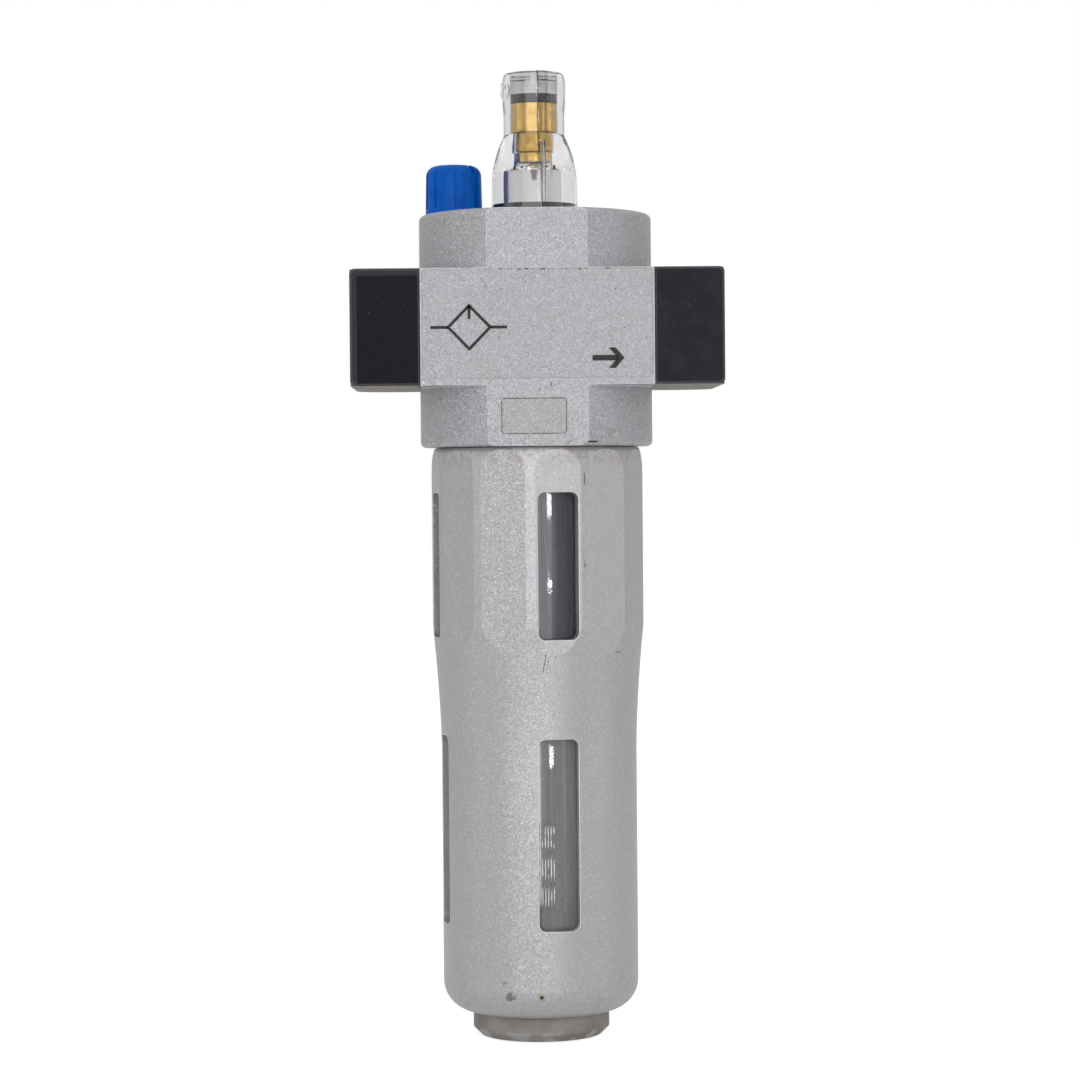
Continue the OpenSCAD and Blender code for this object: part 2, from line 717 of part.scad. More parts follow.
// Half outline of the guard's outside, from its bottom up to the collar
function guard_side() = let(
        top_r = guard_top_d / 2,
        grip_r = guard_d / 2,
        slim_r = guard_slim_d / 2,
        grip_end = shoulder_z - guard_grip_len,
        neck_end = grip_end - guard_neck_len)
    concat(arc([slim_r - guard_round, guard_bottom + guard_round], guard_round, -90, 0),
        [for (i = [0:curve_steps]) let(t = i / curve_steps)
            [slim_r + (grip_r - slim_r) * pow(t, 1.6), neck_end + guard_neck_len * t]],
        [for (i = [0:curve_steps]) let(a = 90 * i / curve_steps)
            [top_r + (grip_r - top_r) * cos(a), shoulder_z - guard_shoulder * (1 - sin(a))]]);

// One window's cutting shape, facing +X, from the distance down from the shoulder
module window_cut(top, h) {
    translate([0, 0, shoulder_z - top - h / 2]) rotate([90, 0, 90])
        linear_extrude(guard_d) round_rect(window_w, h, window_r);
}

module bowl_guard() {
    hole_r = stub_d / 2 + thread_fit;
    inner_r = guard_bore / 2;
    corner_to_flat = cos(180 / guard_sides);
    color("lightgray") on_axis() difference() {
        union() {
            intersection() {
                turned(concat([[0, guard_bottom]], guard_side(), [[0, shoulder_z]]));
                rotate([0, 0, window_turn - 90 + 180 / guard_sides])
                    translate([0, 0, guard_bottom - over])
                        cylinder(d = guard_flats / corner_to_flat,
                            h = guard_len + 2 * over, $fn = guard_sides);
            }
            translate([0, 0, shoulder_z - over]) cylinder(d = collar_d, h = collar_len + over);
        }
        turned(concat([[0, guard_floor_z]],
            arc([inner_r - guard_inner_round, guard_floor_z + guard_inner_round],
                guard_inner_round, -90, 0, 6),
            [[inner_r, collar_top + over], [0, collar_top + over]]));
        translate([0, 0, guard_bottom - over]) cylinder(r = hole_r, h = guard_floor + 2 * over);
        for (i = [0:window_count - 1])
            to_bearing(window_turn + i * 360 / window_count) {
                window_cut(upper_window_top, upper_window_h);
                window_cut(lower_window_top, lower_window_h);
            }
    }
}

module end_nut() {
    r = nut_d / 2;
    hole_r = stub_d / 2;
    rest_r = r - nut_chamfer;
    color("tan") on_axis() difference() {
        turned([[0, nut_bottom], [rest_r, nut_bottom], [r, nut_bottom + nut_chamfer],
            [r, nut_top], [hole_r, nut_top], [hole_r, nut_bottom + nut_floor],
            [0, nut_bottom + nut_floor]]);
        for (side = [-1, 1])
            translate([side * (rest_r + hole_r) / 2, 0, nut_bottom - over])
                cylinder(d = spanner_hole_d, h = nut_h / 2 + over, $fn = small_fn);
    }
}

// A port block drawn with its mouth at x = 0 and its housing face at x = block_w
module port_block() {
    front = -housing_d / 2 + cover_t;
    groove_r = port_seal_cord / 2 + face_gap;
    seat_d = peg_d + 2 * seat_fit;
    difference() {
        translate([0, 0, -band_h / 2]) linear_extrude(band_h) {
            translate([0, front]) square([block_w, block_d - block_corner_r]);
            translate([block_corner_r, front])
                square([block_w - block_corner_r, block_d]);
            translate([block_corner_r, front + block_d - block_corner_r])
                circle(r = block_corner_r);
        }
        rod_x(-over, port_d, port_depth + over);
        rod_x(0, flow_d, block_w + over);
        for (y = [-1, 1]) translate([0, y * screw_span / 2, 0]) {
            rod_x(-over, screw_head_d + 2 * face_gap, screw_seat + over);
            rod_x(0, screw_d + 2 * face_gap, block_w + over);
        }
        for (z = [-1, 1])
            translate([block_w / 2, front + peg_len + face_gap, z * peg_span / 2])
                rotate([90, 0, 0])
                    cylinder(d = seat_d, h = peg_len + cover_t, $fn = small_fn);
        translate([block_w - port_seal_cord, 0, 0]) rotate([0, 90, 0])
            ring(0, port_seal_d - 2 * groove_r, port_seal_d + 2 * groove_r, block_w);
    }
}

// Outline of a cover plate, set in all round, with round corners at the mouth side
module cover_outline(inset) {
    w = block_w - 2 * inset;
    h = band_h - 2 * inset;
    round_rect(w, h, cover_round);
    translate([0, -h / 2]) square([w / 2, h]);
}

// A cover plate with its two pegs, in the block's own frame
module port_cover() {
    front = -housing_d / 2;
    rim = cover_bevel;
    translate([block_w / 2, 0, 0]) rotate([90, 0, 0]) {
        translate([0, 0, -front - cover_t]) linear_extrude(cover_t - rim) cover_outline(0);
        for (i = [0:3])
            translate([0, 0, -front - rim + i * rim / 4]) linear_extrude(rim / 4)
                cover_outline(rim * i / 4);
        for (z = [-1, 1])
            translate([0, z * peg_span / 2, -front - cover_t - peg_len])
                cylinder(d = peg_d, h = peg_len + cover_t / 2, $fn = small_fn);
    }
}

// The ring seal between a block and the housing, in the block's own frame
module port_seal() {
    translate([block_w - port_seal_cord / 2, 0, 0]) rotate([0, 90, 0])
        rotate_extrude() translate([port_seal_d / 2, 0])
            circle(d = port_seal_cord - seat_fit, $fn = small_fn);
}

// The two socket head screws of a block, in the block's own frame
module port_screws() {
    key_r = screw_key / 2 / cos(30);
    for (y = [-1, 1]) translate([screw_seat, y * screw_span / 2, 0])
        difference() {
            union() {
                rod_x(-screw_head_h, screw_head_d, screw_head_h);
                rod_x(-screw_head_h / 2, screw_d - 2 * thread_fit,
                    screw_len + screw_head_h / 2);
            }
            translate([-screw_head_h - over, 0, 0]) rotate([0, 90, 0])
                cylinder(r = key_r, h = screw_head_h / 2 + over, $fn = 6);
        }
}

// Puts a piece of the inlet side, drawn in the block's own frame, on the outlet side
module outlet_side() {
    translate([2 * axis_x, 0, 0]) mirror([1, 0, 0]) children();
}

module inlet_block() {
    color("darkgray") port_block();
}

module outlet_block() {
    color("darkgray") outlet_side() port_block();
}

module inlet_cover() {
    color("black") port_cover();
}

module outlet_cover() {
    color("black") outlet_side() port_cover();
}

module inlet_seal() {
    color("dimgray") port_seal();
}

module outlet_seal() {
    color("dimgray") outlet_side() port_seal();
}

module inlet_screws() {
    color("gray") port_screws();
}

module outlet_screws() {
    color("gray") outlet_side() port_screws();
}

housing();
venturi_sleeve();
drip_jet();
sight_dome();
dome_seal();
metering_screw();
metering_head();
metering_seal();
filler_plug();
filler_seal();
siphon_fitting();
check_ball();
siphon_tube();
siphon_filter();
bowl();
bowl_seal();
bowl_guard();
end_nut();
inlet_block();
outlet_block();
inlet_cover();
outlet_cover();
inlet_seal();
outlet_seal();
inlet_screws();
outlet_screws();
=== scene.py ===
import math

import bpy
import numpy as np
from mathutils import Matrix, Vector


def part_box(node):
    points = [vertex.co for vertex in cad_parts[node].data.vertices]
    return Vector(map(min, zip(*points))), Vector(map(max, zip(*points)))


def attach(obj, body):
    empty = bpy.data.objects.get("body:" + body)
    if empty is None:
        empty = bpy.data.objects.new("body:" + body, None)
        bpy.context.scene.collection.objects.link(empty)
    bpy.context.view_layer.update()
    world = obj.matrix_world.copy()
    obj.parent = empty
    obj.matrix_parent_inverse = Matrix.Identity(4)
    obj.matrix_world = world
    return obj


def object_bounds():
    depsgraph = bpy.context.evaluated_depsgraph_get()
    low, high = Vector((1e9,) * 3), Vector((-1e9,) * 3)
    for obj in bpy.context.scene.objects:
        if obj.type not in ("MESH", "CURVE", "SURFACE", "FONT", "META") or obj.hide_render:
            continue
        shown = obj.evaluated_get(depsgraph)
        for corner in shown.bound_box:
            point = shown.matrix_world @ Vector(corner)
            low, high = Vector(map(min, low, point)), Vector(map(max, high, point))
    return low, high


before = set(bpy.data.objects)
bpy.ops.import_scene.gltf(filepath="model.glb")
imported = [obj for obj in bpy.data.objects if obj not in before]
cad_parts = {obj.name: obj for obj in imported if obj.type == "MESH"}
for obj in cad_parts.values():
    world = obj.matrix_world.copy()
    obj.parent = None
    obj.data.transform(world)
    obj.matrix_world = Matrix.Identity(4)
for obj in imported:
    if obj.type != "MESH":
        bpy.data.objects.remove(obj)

# The frame as packed, and the upright axis that the bowl, its guard and the sight dome
# share. Lengths are metres, and materials read places in millimetres.
MM = 0.001
cad_low, cad_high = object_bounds()
housing_low, housing_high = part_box("housing")
AXIS_X = (housing_low[0] + housing_high[0]) / 2
FRONT_Y = housing_low[1]

# The camera stands about half a metre in front, a little below the ports and a degree to
# the left, so the blocks' undersides show and the object leans a little to the left.
CAMERA_DISTANCE = 0.550
CAMERA_BELOW_PORTS = 0.02714
CAMERA_TO_LEFT = math.radians(1.0)
AIM_BELOW_PORTS = 0.0368
AIM_TO_RIGHT = 0.00045
ROLL = math.radians(-0.49)
SENSOR_MM = 36.0
FOCAL_PIXELS = 3117.0
PHOTO_PIXELS = 1080.0


def look_at(eye, target, roll=0.0):
    """Camera or lamp matrix: -Z runs from eye to target, and roll turns it about Z."""
    turn = (Vector(target) - Vector(eye)).to_track_quat("-Z", "Y").to_matrix().to_4x4()
    return Matrix.Translation(eye) @ turn @ Matrix.Rotation(roll, 4, "Z")


eye = (AXIS_X - CAMERA_DISTANCE * math.sin(CAMERA_TO_LEFT),
       -CAMERA_DISTANCE * math.cos(CAMERA_TO_LEFT), -CAMERA_BELOW_PORTS)
camera = bpy.data.objects.new("camera", bpy.data.cameras.new("camera"))
camera.data.sensor_width = SENSOR_MM
camera.data.lens = SENSOR_MM * FOCAL_PIXELS / PHOTO_PIXELS
camera.data.clip_start = 0.01
camera.matrix_world = look_at(eye, (AXIS_X + AIM_TO_RIGHT, 0.0, -AIM_BELOW_PORTS), ROLL)
bpy.context.scene.collection.objects.link(camera)
bpy.context.scene.camera = camera
bpy.context.scene.view_settings.view_transform = "Standard"


# Housing: an aluminium die casting, sprayed with a silver paint whose flakes glint one by
# one, with rare flakes painted lighter as a painted sparkle. Its edges carry a painted
# highlight, and handling has left dark specks, thickest below the band.
class Wire:
    """A socket in a material. Arithmetic with wires and numbers adds Math nodes."""

    def __init__(self, tree, socket=None):
        self.tree = tree
        self.socket = socket

    def add(self, kind, settings=None, sockets=None, out=0):
        """Any node: its type, its settings, then the values or links of its sockets."""
        node = self.tree.nodes.new(kind)
        for name, value in (settings or {}).items():
            setattr(node, name, value)
        for name, value in (sockets or {}).items():
            if isinstance(value, Wire):
                self.tree.links.new(value.socket, node.inputs[name])
            else:
                node.inputs[name].default_value = value
        return Wire(self.tree, node.outputs[out])

    def math(self, operation, *values):
        return self.add("ShaderNodeMath", {"operation": operation}, dict(enumerate(values)))

    def __add__(self, other):
        return self.math("ADD", self, other)

    __radd__ = __add__

    def __sub__(self, other):
        return self.math("SUBTRACT", self, other)

    def __rsub__(self, other):
        return self.math("SUBTRACT", other, self)

    def __mul__(self, other):
        return self.math("MULTIPLY", self, other)

    def __abs__(self):
        return self.math("ABSOLUTE", self)

    def __or__(self, other):
        """The greater of two masks."""
        return self.math("MAXIMUM", self, other)

    def step(self, low, high):
        """0 at low, 1 at high and smooth between; low may be the larger of the two."""
        return self.add("ShaderNodeMapRange", {"interpolation_type": "SMOOTHSTEP"},
                        {"Value": self, "From Min": low, "From Max": high})

    def between(self, low, high, soft):
        """1 from low to high, with soft ends."""
        return self.step(low - soft, low + soft) * self.step(high + soft, high - soft)

    def blend(self, off, on):
        """Colour that goes from off to on as this wire goes from 0 to 1."""
        return self.add("ShaderNodeMix", {"data_type": "RGBA"},
                        {"Factor": self, 6: off, 7: on}, out=2)

    def vector(self, operation, other, out=0):
        """Vector Math on this place or direction."""
        return self.add("ShaderNodeVectorMath", {"operation": operation},
                        {0: self, 1: other}, out=out)

    def noise(self, per_mm, detail=3.0, roughness=0.55):
        """Soft noise, about 0.5 on average, over this place in millimetres."""
        return self.add("ShaderNodeTexNoise", None,
                        {"Vector": self, "Scale": per_mm, "Detail": detail,
                         "Roughness": roughness})

    def cells(self, per_mm, out="Distance"):
        """Scattered cells over this place: the distance to each, or a colour for each."""
        return self.add("ShaderNodeTexVoronoi", None, {"Vector": self, "Scale": per_mm}, out=out)

    def specks(self, per_mm, radius_mm, share):
        """1 in round specks of mixed size, one in a share of the cells."""
        chance, size = self.cells(per_mm, "Color").parts()[:2]
        disc = (size * (radius_mm * per_mm) - self.cells(per_mm)).step(0.0, 0.04)
        return disc * (chance + share).step(1.0, 1.02)

    def parts(self):
        """The three coordinates of this place, or the three parts of this colour."""
        node = self.tree.nodes.new("ShaderNodeSeparateXYZ")
        self.tree.links.new(self.socket, node.inputs[0])
        return [Wire(self.tree, socket) for socket in node.outputs]

    def rounded(self, radius_mm):
        """The normal, as if every edge had a small radius."""
        return self.add("ShaderNodeBevel", {"samples": 6}, {"Radius": radius_mm * MM})

    def on_edges(self):
        """0 where this rounded normal is within 5 degrees of the true one, and 1 beyond 15.
        The two numbers are the cosines."""
        true = self.add("ShaderNodeNewGeometry", out="True Normal")
        return self.vector("DOT_PRODUCT", true, "Value").step(0.996, 0.966)

    def bumped(self, depth_mm, normal=None):
        """Normal of a surface raised by this height times depth_mm."""
        sockets = {"Height": self, "Distance": depth_mm * MM, "Strength": 1.0}
        if normal:
            sockets["Normal"] = normal
        return self.add("ShaderNodeBump", None, sockets)


def new_finish(name, **constants):
    """A material with one shader: returns it, its shader and the place in millimetres."""
    material = bpy.data.materials.new(name)
    material.use_nodes = True
    tree = material.node_tree
    shader = tree.nodes["Principled BSDF"]
    for socket, value in constants.items():
        shader.inputs[socket.replace("_", " ")].default_value = value
    place = Wire(tree).add("ShaderNodeTexCoord", out="Object")
    return material, shader, place.vector("MULTIPLY", (1 / MM, 1 / MM, 1 / MM))


def feed(shader, socket, wire):
    wire.tree.links.new(wire.socket, shader.inputs[socket])


def grey(value):
    return (value, value, value, 1.0)


def dress(material, *nodes):
    """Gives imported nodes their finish."""
    for node in nodes:
        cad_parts[node].material_slots[0].material = material


def silver_paint(name, tone, metallic, flakes_per_mm, glitter, edge_mm, marks):
    """Silver paint: each flake has its own lean and tone, with a painted sparkle on rare flakes
    and a painted highlight on the edges; marks(place) lists the marks.
    """
    material, shader, place = new_finish(name, Metallic=metallic)
    flake = place.cells(flakes_per_mm, "Color")
    glint, rough = flake.parts()[:2]
    cloud = place.noise(0.15, 3.0)
    paint = (glint * 0.8 + cloud * 0.2).step(0.05, 0.95).blend(
        tuple((1 - 0.15 * glitter) * c for c in tone) + (1,),
        tuple((1 + 0.15 * glitter) * c for c in tone) + (1,))
    # Rare flakes are painted lighter: a painted sparkle of light.
    paint = (glint.step(0.92, 0.99) * (0.5 * glitter)).blend(paint, (0.80, 0.80, 0.82, 1))
    rounded = place.rounded(edge_mm)
    # The edges are painted lighter: a painted highlight where rounded edges catch the light.
    paint = (rounded.on_edges() * 0.80).blend(paint, (0.95, 0.95, 0.97, 1))
    for mask, colour in marks(place):
        paint = mask.blend(paint, colour)
    feed(shader, "Base Color", paint)
    feed(shader, "Roughness", 0.27 + rough * 0.12 + cloud * 0.08)
    lean = 0.32 * glitter
    leaning = flake.vector("SUBTRACT", (0.5, 0.5, 0.5)).vector("MULTIPLY", (lean, lean, lean))
    leaning = rounded.vector("ADD", leaning).vector("NORMALIZE", (0, 0, 0))
    feed(shader, "Normal", place.noise(flakes_per_mm, 1.0).bumped(0.006, leaning))
    return material


def housing_marks(place):
    """Specks and grime of the housing, with a brown nick and a black dash at the front."""
    x, y, z = place.parts()
    x = x - AXIS_X / MM
    front = y.step(-8.0, -12.0)
    below_band = z.step(-9.8, -10.6) * z.step(-18.0, -13.0)
    cluster = place.noise(0.16, 2.0).step(0.45, 0.72)
    specks = place.specks(1.3, 0.17, 0.02 + cluster * 0.10 + below_band * x.step(4.0, -10.0) * 0.7)
    scuff = place.noise(0.9, 5.0, 0.7)
    grime = z.between(-20.2, -19.5, 0.25) * scuff.step(0.55, 0.62) * 0.75
    corner = x.between(8.5, 15.0, 0.8) * z.between(-19.0, -17.6, 0.5) * scuff.step(0.50, 0.58)
    dash = x.between(8.4, 10.1, 0.1) * z.between(-19.9, -19.6, 0.05) * front
    nick = x.between(2.2, 2.4, 0.06) * z.between(-10.2, -9.5, 0.1) * front
    return [(cluster * 0.12, (0.38, 0.36, 0.34, 1)), (corner * 0.5, (0.20, 0.17, 0.14, 1)),
            (grime, (0.15, 0.14, 0.13, 1)), (specks * 0.8, (0.055, 0.05, 0.045, 1)),
            (nick * 0.85, (0.09, 0.055, 0.035, 1)), (dash, (0.01, 0.01, 0.01, 1))]


dress(silver_paint("housing_paint", tone=(0.445, 0.445, 0.472), metallic=0.30, flakes_per_mm=5.4,
                   glitter=1.3, edge_mm=0.30, marks=housing_marks), "housing")


# Front signs: a clear film over the band carries two plain signs in black print, the one
# for a lubricator and the flow arrow. A small framed sticker, left bare, is stuck below.
FILM_LOW, FILM_HIGH = (-19.7, -8.9), (19.75, 9.85)
STICKER_LOW, STICKER_HIGH = (-6.33, -18.4), (4.92, -12.2)
LABEL_CORNER, LABEL_BACK, FILM_FRONT, PRINT_FRONT, STICKER_FRONT = 0.6, 0.010, 0.040, 0.055, 0.045
FILM_RIM, STICKER_FRAME = 0.16, 0.20
SIGN_CENTRE, SIGN_HALF, SIGN_LINE = (-11.64, -0.14), (3.93, 4.05), 0.50
SIGN_ENDS, SIGN_STROKE_FOOT = (-18.24, -5.16), 1.22
ARROW_TAIL, ARROW_TIP, ARROW_Z = 9.33, 14.78, -5.50
ARROW_SHAFT, ARROW_HALF, ARROW_WIDTH, ARROW_SWEEP = 0.94, 1.75, 1.16, 1.50


def new_piece(name, body, places, faces, material):
    """A mesh piece that rides a body; the places of its corners are metres."""
    mesh = bpy.data.meshes.new(name)
    mesh.from_pydata(places.tolist(), [], [list(map(int, face)) for face in faces])
    mesh.materials.append(material)
    piece = bpy.data.objects.new(name, mesh)
    bpy.context.scene.collection.objects.link(piece)
    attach(piece, body)
    return piece


def lay_on_front(name, corners, faces, material):
    """A piece on the housing's front: corners hold x from the axis, height in front and z."""
    places = np.array(corners, dtype=float).reshape(-1, 3) * MM
    places = np.stack([AXIS_X + places[:, 0], FRONT_Y - places[:, 1], places[:, 2]], axis=1)
    return new_piece(name, "body", places, faces, material)


def rounded_plate(low, high, corner, back, front):
    """A thin plate. The point of its outline at turn t is the centre of a corner plus the
    corner's radius times (cos t, sin t); the outline is drawn at the front and the back."""
    sign = np.array([(1, 1), (-1, 1), (-1, -1), (1, -1)])
    turn = (np.arange(4)[:, None] + np.linspace(0, 1, 7)) * math.pi / 2
    centre = (np.add(low, high) / 2) + sign * (np.subtract(high, low) / 2 - corner)
    x = (centre[:, :1] + corner * np.cos(turn)).ravel()
    z = (centre[:, 1:] + corner * np.sin(turn)).ravel()
    count = len(x)
    corners = [np.stack([x, np.full(count, h), z], axis=1) for h in (front, back)]
    ring = np.arange(count)
    after = np.roll(ring, -1)
    sides = np.stack([ring, ring + count, after + count, after], axis=1)
    return np.concatenate(corners), [ring, (ring + count)[::-1], *sides]


def printed_lines(lines, back, front):
    """Lines of print: a flat profile carried along each path of (x, z) points. A point gives
    the line's two edges, at minus and plus its reach, and a closed path joins its ends."""
    corners, faces = [], []
    for path, reach, closed in lines:
        path = np.array(path, dtype=float)
        reach = np.broadcast_to(reach, path.shape)
        edge = np.stack([path - reach, path + reach, path + reach, path - reach], axis=1)
        height = np.broadcast_to([front, front, back, back], edge.shape[:2])
        start = sum(map(len, corners))
        corners.append(np.stack([edge[..., 0], height, edge[..., 1]], axis=2).reshape(-1, 3))
        row = np.arange(len(path) if closed else len(path) - 1)[:, None]
        side = np.arange(4)
        here, there = row * 4, (row + 1) % len(path) * 4
        strip = np.stack([here + side, there + side, there + (side + 1) % 4,
                          here + (side + 1) % 4], axis=2).reshape(-1, 4) + start
        faces.extend(strip)
        if not closed:
            faces.extend([side + start, (side + 4 * (len(path) - 1))[::-1] + start])
    return np.concatenate(corners), faces


def border(place, low, high, width, soft):
    """1 on the border of a label from low to high, and 0 inside it."""
    x, y, z = place.parts()
    x = x - AXIS_X / MM
    return 1.0 - x.between(low[0] + width, high[0] - width, soft) \
        * z.between(low[1] + width, high[1] - width, soft)


material, shader, place = new_finish("clear_film", Roughness=0.22, Specular_IOR_Level=0.6)
rim = border(place, FILM_LOW, FILM_HIGH, FILM_RIM, 0.05)
top_edge = place.parts()[2].step(FILM_HIGH[1] - 0.35, FILM_HIGH[1] - 0.15)
dirt = top_edge * place.noise(0.8, 4.0, 0.7).step(0.54, 0.60)
feed(shader, "Base Color", dirt.blend((0.60, 0.60, 0.60, 1), (0.06, 0.055, 0.05, 1)))
feed(shader, "Alpha", 0.05 + rim * 0.22 | dirt * 0.7)
feed(shader, "Normal", place.noise(0.4, 3.0).bumped(0.01))
plate = rounded_plate(FILM_LOW, FILM_HIGH, LABEL_CORNER, LABEL_BACK, FILM_FRONT)
lay_on_front("front_film", *plate, material)

material, shader, place = new_finish("black_print", Specular_IOR_Level=0.35)
wear = place.noise(1.6, 4.0, 0.6)
feed(shader, "Base Color", wear.step(0.62, 0.72).blend((0.020, 0.014, 0.018, 1),
                                                       (0.10, 0.09, 0.095, 1)))
feed(shader, "Roughness", wear * 0.3 + 0.35)
half = np.array(SIGN_HALF)
mitre = SIGN_LINE / 2 * math.hypot(*SIGN_HALF) / half[::-1]
corner = np.array([(1, 0), (0, 1), (-1, 0), (0, -1)])
middle, level = SIGN_CENTRE
sign = printed_lines([
    (np.add(SIGN_CENTRE, corner * (half - mitre)), -corner * mitre, True),
    ([(SIGN_ENDS[0], level), (middle - half[0] + mitre[0], level)], (0, SIGN_LINE / 2), False),
    ([(middle + half[0] - mitre[0], level), (SIGN_ENDS[1], level)], (0, SIGN_LINE / 2), False),
    ([(middle, SIGN_STROKE_FOOT), (middle, level + half[1] - mitre[1])],
     (-SIGN_LINE / 2, 0), False)], FILM_FRONT, PRINT_FRONT)
lay_on_front("lubricator_sign", *sign, material)
back_x = ARROW_TIP - ARROW_SWEEP - ARROW_WIDTH / 2
arrow = printed_lines([
    ([(ARROW_TAIL, ARROW_Z), (ARROW_TIP - ARROW_WIDTH, ARROW_Z)], (0, ARROW_SHAFT / 2), False),
    ([(back_x, ARROW_Z + ARROW_HALF), (ARROW_TIP - ARROW_WIDTH / 2, ARROW_Z),
      (back_x, ARROW_Z - ARROW_HALF)], (ARROW_WIDTH / 2, 0), False)], FILM_FRONT, PRINT_FRONT)
lay_on_front("flow_arrow", *arrow, material)

material, shader, place = new_finish("bare_sticker", Roughness=0.28)
frame_line = border(place, STICKER_LOW, STICKER_HIGH, STICKER_FRAME, 0.06) \
    * place.noise(0.7, 4.0, 0.7).step(0.30, 0.52)
fleck = place.cells(3.6, "Color").parts()[0]
paper = fleck.blend((0.70, 0.70, 0.685, 1), (0.84, 0.84, 0.82, 1))
paper = (place.noise(0.35, 3.0).step(0.5, 0.7) * 0.3).blend(paper, (0.66, 0.65, 0.62, 1))
feed(shader, "Base Color", (frame_line * 0.85).blend(paper, (0.08, 0.07, 0.045, 1)))
feed(shader, "Alpha", 0.16 + frame_line * 0.6)
feed(shader, "Normal", place.noise(0.5, 3.0).bumped(0.02))
plate = rounded_plate(STICKER_LOW, STICKER_HIGH, LABEL_CORNER, LABEL_BACK, STICKER_FRONT)
lay_on_front("small_sticker", *plate, material)

# Port blocks: bare castings, sand-coloured and rough. A black plate is pegged on the front
# of each, two socket screws a side hold the blocks, and ring seals sit behind them.
material, shader, place = new_finish("bare_casting", Metallic=0.15)
grain = place.noise(2.4, 6.0, 0.72)
stain = place.noise(0.22, 3.0)
casting = stain.step(0.35, 0.68).blend((0.25, 0.225, 0.195, 1), (0.38, 0.355, 0.325, 1))
casting = (grain.step(0.56, 0.70) * 0.5).blend(casting, (0.17, 0.15, 0.13, 1))
feed(shader, "Base Color", casting)
feed(shader, "Roughness", grain * 0.3 + 0.45)
feed(shader, "Normal", grain.bumped(0.05, place.rounded(0.3)))
dress(material, "inlet_block", "outlet_block")


def black_plate(name, node, plain, dusty, band):
    """Glossy black plastic with haze, hairs, dust and a painted highlight on its edges. Where
    band is 1, the plate is worn along its left and upper edges, 1.25 mm wide."""
    material, shader, place = new_finish(name, Specular_IOR_Level=0.10)
    low, high = ([v / MM for v in corner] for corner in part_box(node))
    x, y, z = place.parts()
    haze = place.noise(0.30, 5.0, 0.6)
    hair = place.vector("MULTIPLY", (1.0, 1.0, 0.10)).noise(2.4, 4.0, 0.6).step(0.65, 0.70)
    dust = place.specks(1.8, 0.12, 0.05 + haze.step(0.5, 0.7) * 0.12)
    worn = (x.step(low[0] + 1.35, low[0] + 1.15) | z.step(high[2] - 1.35, high[2] - 1.15)) * band
    rounded = place.rounded(0.25)
    cover = haze.step(0.35, 0.75).blend(plain, dusty)
    cover = (worn * (0.4 + haze * 0.8)).blend(cover, (0.045, 0.042, 0.058, 1))
    # The edges are painted pale as a painted highlight, and the hairs and dust are pale too.
    pale = rounded.on_edges() * 0.6 | hair * 0.10 | dust * 0.7
    feed(shader, "Base Color", pale.blend(cover, (0.20, 0.195, 0.20, 1)))
    feed(shader, "Roughness", haze * 0.25 + hair * 0.2 + 0.20)
    feed(shader, "Normal", (haze + dust * 0.2).bumped(0.03, rounded))
    dress(material, node)


black_plate("black_cover_left", "inlet_cover",
            plain=(0.002, 0.0024, 0.0075, 1), dusty=(0.006, 0.006, 0.014, 1), band=1.0)
black_plate("black_cover_right", "outlet_cover",
            plain=(0.010, 0.010, 0.018, 1), dusty=(0.024, 0.023, 0.033, 1), band=0.0)

material, shader, place = new_finish("plated_steel", Metallic=1.0)
feed(shader, "Base Color", place.noise(0.8, 3.0).blend(grey(0.38), grey(0.56)))
feed(shader, "Roughness", place.noise(3.0, 3.0) * 0.2 + 0.22)
dress(material, "inlet_screws", "outlet_screws", "check_ball")

material, shader, place = new_finish("black_rubber")
feed(shader, "Base Color", place.noise(1.5, 3.0).blend(grey(0.012), grey(0.030)))
feed(shader, "Roughness", place.noise(2.0, 3.0) * 0.25 + 0.35)
dress(material, "inlet_seal", "outlet_seal", "metering_seal", "filler_seal", "bowl_seal")

# Filler plug: moulded in satin blue plastic, with ribs for the fingers and a coin slot.
material, shader, place = new_finish("blue_plastic", Specular_IOR_Level=0.10)
tint = place.noise(0.5, 4.0)
blue = tint.step(0.3, 0.7).blend((0.0005, 0.105, 0.520, 1), (0.001, 0.145, 0.660, 1))
scuff = place.vector("MULTIPLY", (1.0, 1.0, 0.25)).noise(2.2, 5.0, 0.65).step(0.60, 0.72)
blue = (scuff * 0.25).blend(blue, (0.04, 0.14, 0.42, 1))
rounded = place.rounded(0.15)
# The edges are painted a lighter blue: a painted highlight.
blue = (rounded.on_edges() * 0.35).blend(blue, (0.03, 0.20, 0.60, 1))
feed(shader, "Base Color", blue)
feed(shader, "Roughness", tint * 0.16 + scuff * 0.15 + 0.28)
feed(shader, "Normal", place.noise(2.5, 4.0).bumped(0.012, rounded))
dress(material, "filler_plug")


# Sight dome: one clear moulding with a riser rib, on a grey seal ring that shows through
# its foot. The slotted head of the metering screw is clear too.
def clear_plastic(name, clearness, tint, edge_on_shade, wave_mm, marks=lambda place: []):
    """Clear moulded plastic, painted darker where the wall is seen edge-on as painted shade at
    its outlines, with faint flow marks. marks(place) lists marks and painted shade.
    """
    material, shader, place = new_finish(name, Transmission_Weight=clearness, IOR=1.49)
    flow = place.noise(0.35, 3.0)
    edge_on = place.add("ShaderNodeLayerWeight", None, {"Blend": 0.5}, "Facing")
    plastic = tint
    for mask, colour in marks(place):
        plastic = mask.blend(plastic, colour)
    # Where the wall is seen edge-on, the colour is painted darker: painted shade at the outlines.
    feed(shader, "Base Color", edge_on.step(0.55, 0.95).blend(plastic, edge_on_shade))
    feed(shader, "Roughness", flow.step(0.4, 0.8) * 0.05)
    feed(shader, "Normal", flow.bumped(wave_mm))
    return material


RISER_LEFT, RISER_RIGHT = 0.66, 2.0


